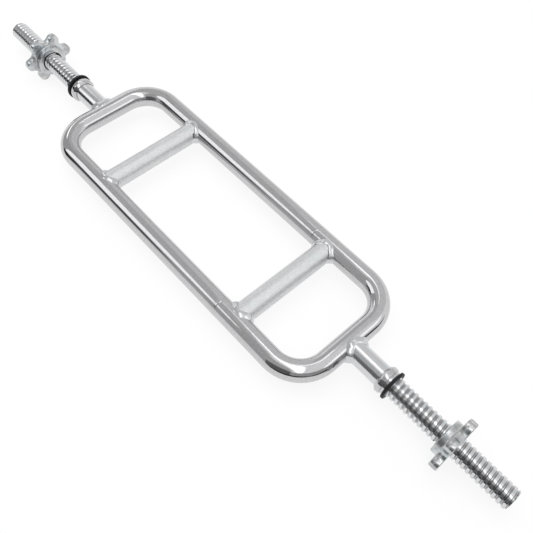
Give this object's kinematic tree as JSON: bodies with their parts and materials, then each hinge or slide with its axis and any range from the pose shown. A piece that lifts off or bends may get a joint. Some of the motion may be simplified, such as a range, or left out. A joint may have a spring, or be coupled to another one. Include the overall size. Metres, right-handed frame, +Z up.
{
  "type": "triceps bar",
  "caption": "Short barbell bent into a long rounded loop with cross grips for a palms-facing hold, and a threaded plate sleeve with a screw-on star collar at each end.",
  "frame": {"origin": "centre of the bar's bounding box, which is also the centre of the loop", "axes": "+X along the bar towards the near sleeve (the lower right one in the picture), +Y along the grips, +Z up out of the loop's plane"},
  "size_m": [0.86, 0.1694, 0.0592],
  "materials": {
    "bar_chrome": "polished chrome plate over solid steel bar",
    "weld_chrome": "chrome plate over a rippled weld bead",
    "grip_satin_chrome": "satin plate with a fine even grain for grip",
    "collar_cast_plating": "bright plating with faint blue and green tints over a cast star",
    "black_rubber": "matte black rubber"
  },
  "bodies": {
    "bar": {"near_loop_half": "bar_chrome", "far_loop_half": "bar_chrome", "left_seam_weld": "weld_chrome", "right_seam_weld": "weld_chrome", "near_grip": "grip_satin_chrome", "far_grip": "grip_satin_chrome", "near_grip_left_weld": "weld_chrome", "near_grip_right_weld": "weld_chrome", "far_grip_left_weld": "weld_chrome", "far_grip_right_weld": "weld_chrome", "near_sleeve": "bar_chrome", "far_sleeve": "bar_chrome", "near_sleeve_weld": "weld_chrome", "far_sleeve_weld": "weld_chrome", "near_stop_collar": "bar_chrome", "far_stop_collar": "bar_chrome", "near_stop_washer": "black_rubber", "far_stop_washer": "black_rubber"},
    "near_travelling_ring": {"near_collar_ring": "black_rubber"},
    "near_star": {"near_star_collar": "collar_cast_plating"},
    "far_travelling_ring": {"far_collar_ring": "black_rubber"},
    "far_star": {"far_star_collar": "collar_cast_plating"}
  },
  "joints": [
    {"name": "near_star_travel", "type": "slide", "parent": "bar", "child": "near_travelling_ring", "axis": [1, 0, 0], "range_m": [-0.0643, 0.0649]},
    {"name": "near_star_turn", "type": "hinge", "parent": "near_travelling_ring", "child": "near_star", "pos_m": [0.35985, 0, 0], "axis": [1, 0, 0], "range_deg": [-3852, 3888]},
    {"name": "far_star_travel", "type": "slide", "parent": "bar", "child": "far_travelling_ring", "axis": [1, 0, 0], "range_m": [-0.0673, 0.0613]},
    {"name": "far_star_turn", "type": "hinge", "parent": "far_travelling_ring", "child": "far_star", "pos_m": [-0.35723, 0, 0], "axis": [1, 0, 0], "range_deg": [-4032, 3672]}
  ],
  "couplings": [
    {"joint": "near_star_travel", "follows": "near_star_turn", "m_per_rad": 0.00095493},
    {"joint": "far_star_travel", "follows": "far_star_turn", "m_per_rad": 0.00095493}
  ]
}
